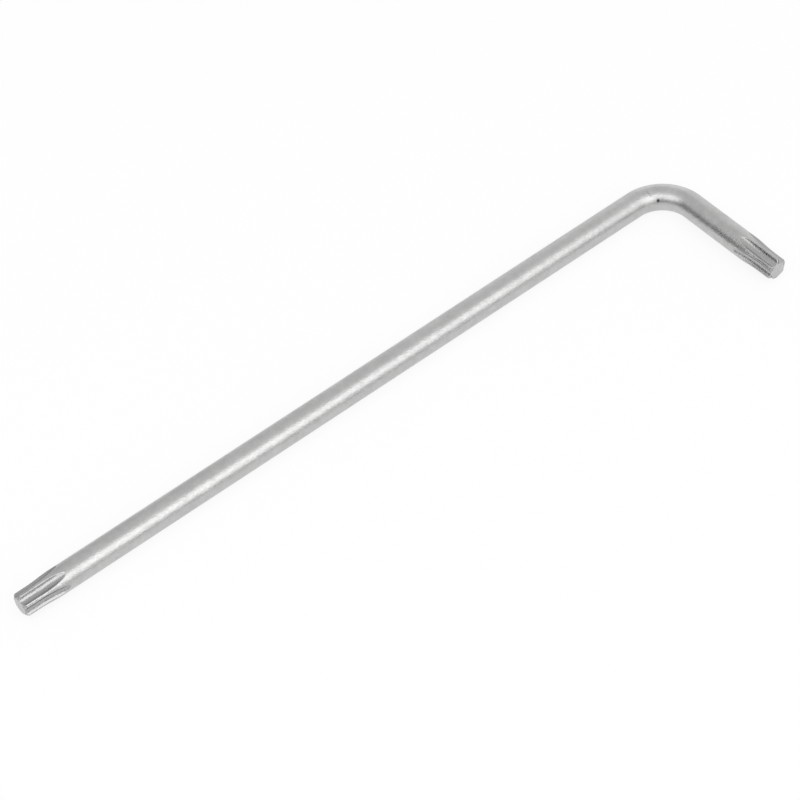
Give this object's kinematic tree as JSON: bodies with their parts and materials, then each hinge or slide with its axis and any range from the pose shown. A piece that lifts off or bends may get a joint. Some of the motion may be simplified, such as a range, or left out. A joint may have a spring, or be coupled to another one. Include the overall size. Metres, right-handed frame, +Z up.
{
  "type": "star key",
  "caption": "L-shaped hand key bent from round steel bar, with a fluted star tip on the end of each arm for turning star-socket screws.",
  "frame": {"origin": "middle of the key's outline, on the surface that the key lies on", "axes": "+X along the long arm from its tip to the bend, +Y from the short arm's tip to the bend, +Z up from the surface"},
  "size_m": [0.18, 0.0396, 0.006],
  "materials": {
    "satin_chrome": "satin chrome plating on hardened steel, with a fine grain on the bar and smoother flutes"
  },
  "bodies": {
    "root": {"long_star_tip": "satin_chrome", "long_shank": "satin_chrome", "bend": "satin_chrome", "short_shank": "satin_chrome", "short_star_tip": "satin_chrome"}
  },
  "joints": []
}
